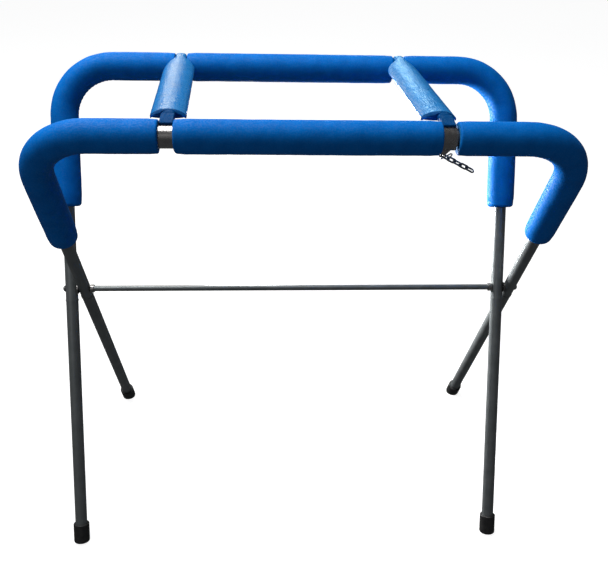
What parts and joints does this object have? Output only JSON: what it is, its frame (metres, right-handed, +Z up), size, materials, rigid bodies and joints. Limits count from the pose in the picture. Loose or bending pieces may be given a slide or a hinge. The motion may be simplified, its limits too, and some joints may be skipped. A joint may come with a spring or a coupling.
{
  "type": "folding padded work stand",
  "caption": "Folding X-frame work stand of bent steel tube with foam-padded top rails and padded chain spreaders.",
  "frame": {"origin": "on the floor, below the middle of the open stand", "axes": "+X along the top rails, +Y from the front rail to the rear rail, +Z up"},
  "size_m": [1.0054, 0.5116, 0.9635],
  "materials": {
    "frame_paint": "satin grey-green powder coat",
    "foam_blue": "matt blue closed-cell foam sleeve with a fine skin",
    "foot_rubber": "matt black moulded rubber",
    "collar_steel": "dark polished steel band",
    "zinc_steel": "zinc-plated steel",
    "chain_steel": "dulled zinc-plated chain"
  },
  "bodies": {
    "rear_frame": {"rear_upper_frame": "frame_paint", "rear_left_leg": "frame_paint", "rear_right_leg": "frame_paint", "rear_left_foot": "foot_rubber", "rear_right_foot": "foot_rubber", "rear_left_foam": "foam_blue", "rear_centre_foam": "foam_blue", "rear_right_foam": "foam_blue", "pivot_rod": "frame_paint", "pivot_spacers": "collar_steel", "pivot_collars": "collar_steel", "pivot_end_caps": "zinc_steel"},
    "front_frame": {"front_upper_frame": "frame_paint", "front_left_leg": "frame_paint", "front_right_leg": "frame_paint", "front_left_foot": "foot_rubber", "front_right_foot": "foot_rubber", "front_left_foam": "foam_blue", "front_centre_foam": "foam_blue", "front_right_foam": "foam_blue", "front_left_collar": "collar_steel", "front_right_collar": "collar_steel", "front_left_hook": "zinc_steel", "front_right_hook": "zinc_steel", "front_left_sleeve_end": "foam_blue", "front_right_sleeve_end": "foam_blue"},
    "left_spreader": {"rear_left_collar": "collar_steel", "left_pad": "foam_blue", "left_chain": "chain_steel"},
    "right_spreader": {"rear_right_collar": "collar_steel", "right_pad": "foam_blue", "right_chain": "chain_steel"},
    "loose_chain": {"tail_hook": "zinc_steel", "chain_tail": "chain_steel"}
  },
  "joints": [
    {"name": "fold", "type": "hinge", "parent": "rear_frame", "child": "front_frame", "pos_m": [0, 0, 0.51719], "axis": [-1, 0, 0], "range_deg": [0, 33]},
    {"name": "left_spreader_drop", "type": "hinge", "parent": "rear_frame", "child": "left_spreader", "pos_m": [0, 0.19483, 0.935], "axis": [1, 0, 0], "range_deg": [0, 90.01]},
    {"name": "right_spreader_drop", "type": "hinge", "parent": "rear_frame", "child": "right_spreader", "pos_m": [0, 0.19483, 0.935], "axis": [1, 0, 0], "range_deg": [0, 90.01]},
    {"name": "loose_chain_swing", "type": "hinge", "parent": "front_frame", "child": "loose_chain", "pos_m": [0.2302, -0.19483, 0.907], "axis": [0, 1, 0], "range_deg": [0, 75]}
  ],
  "couplings": [
    {"joint": "left_spreader_drop", "follows": "fold", "ratio": 2.7273},
    {"joint": "right_spreader_drop", "follows": "fold", "ratio": 2.7273}
  ]
}
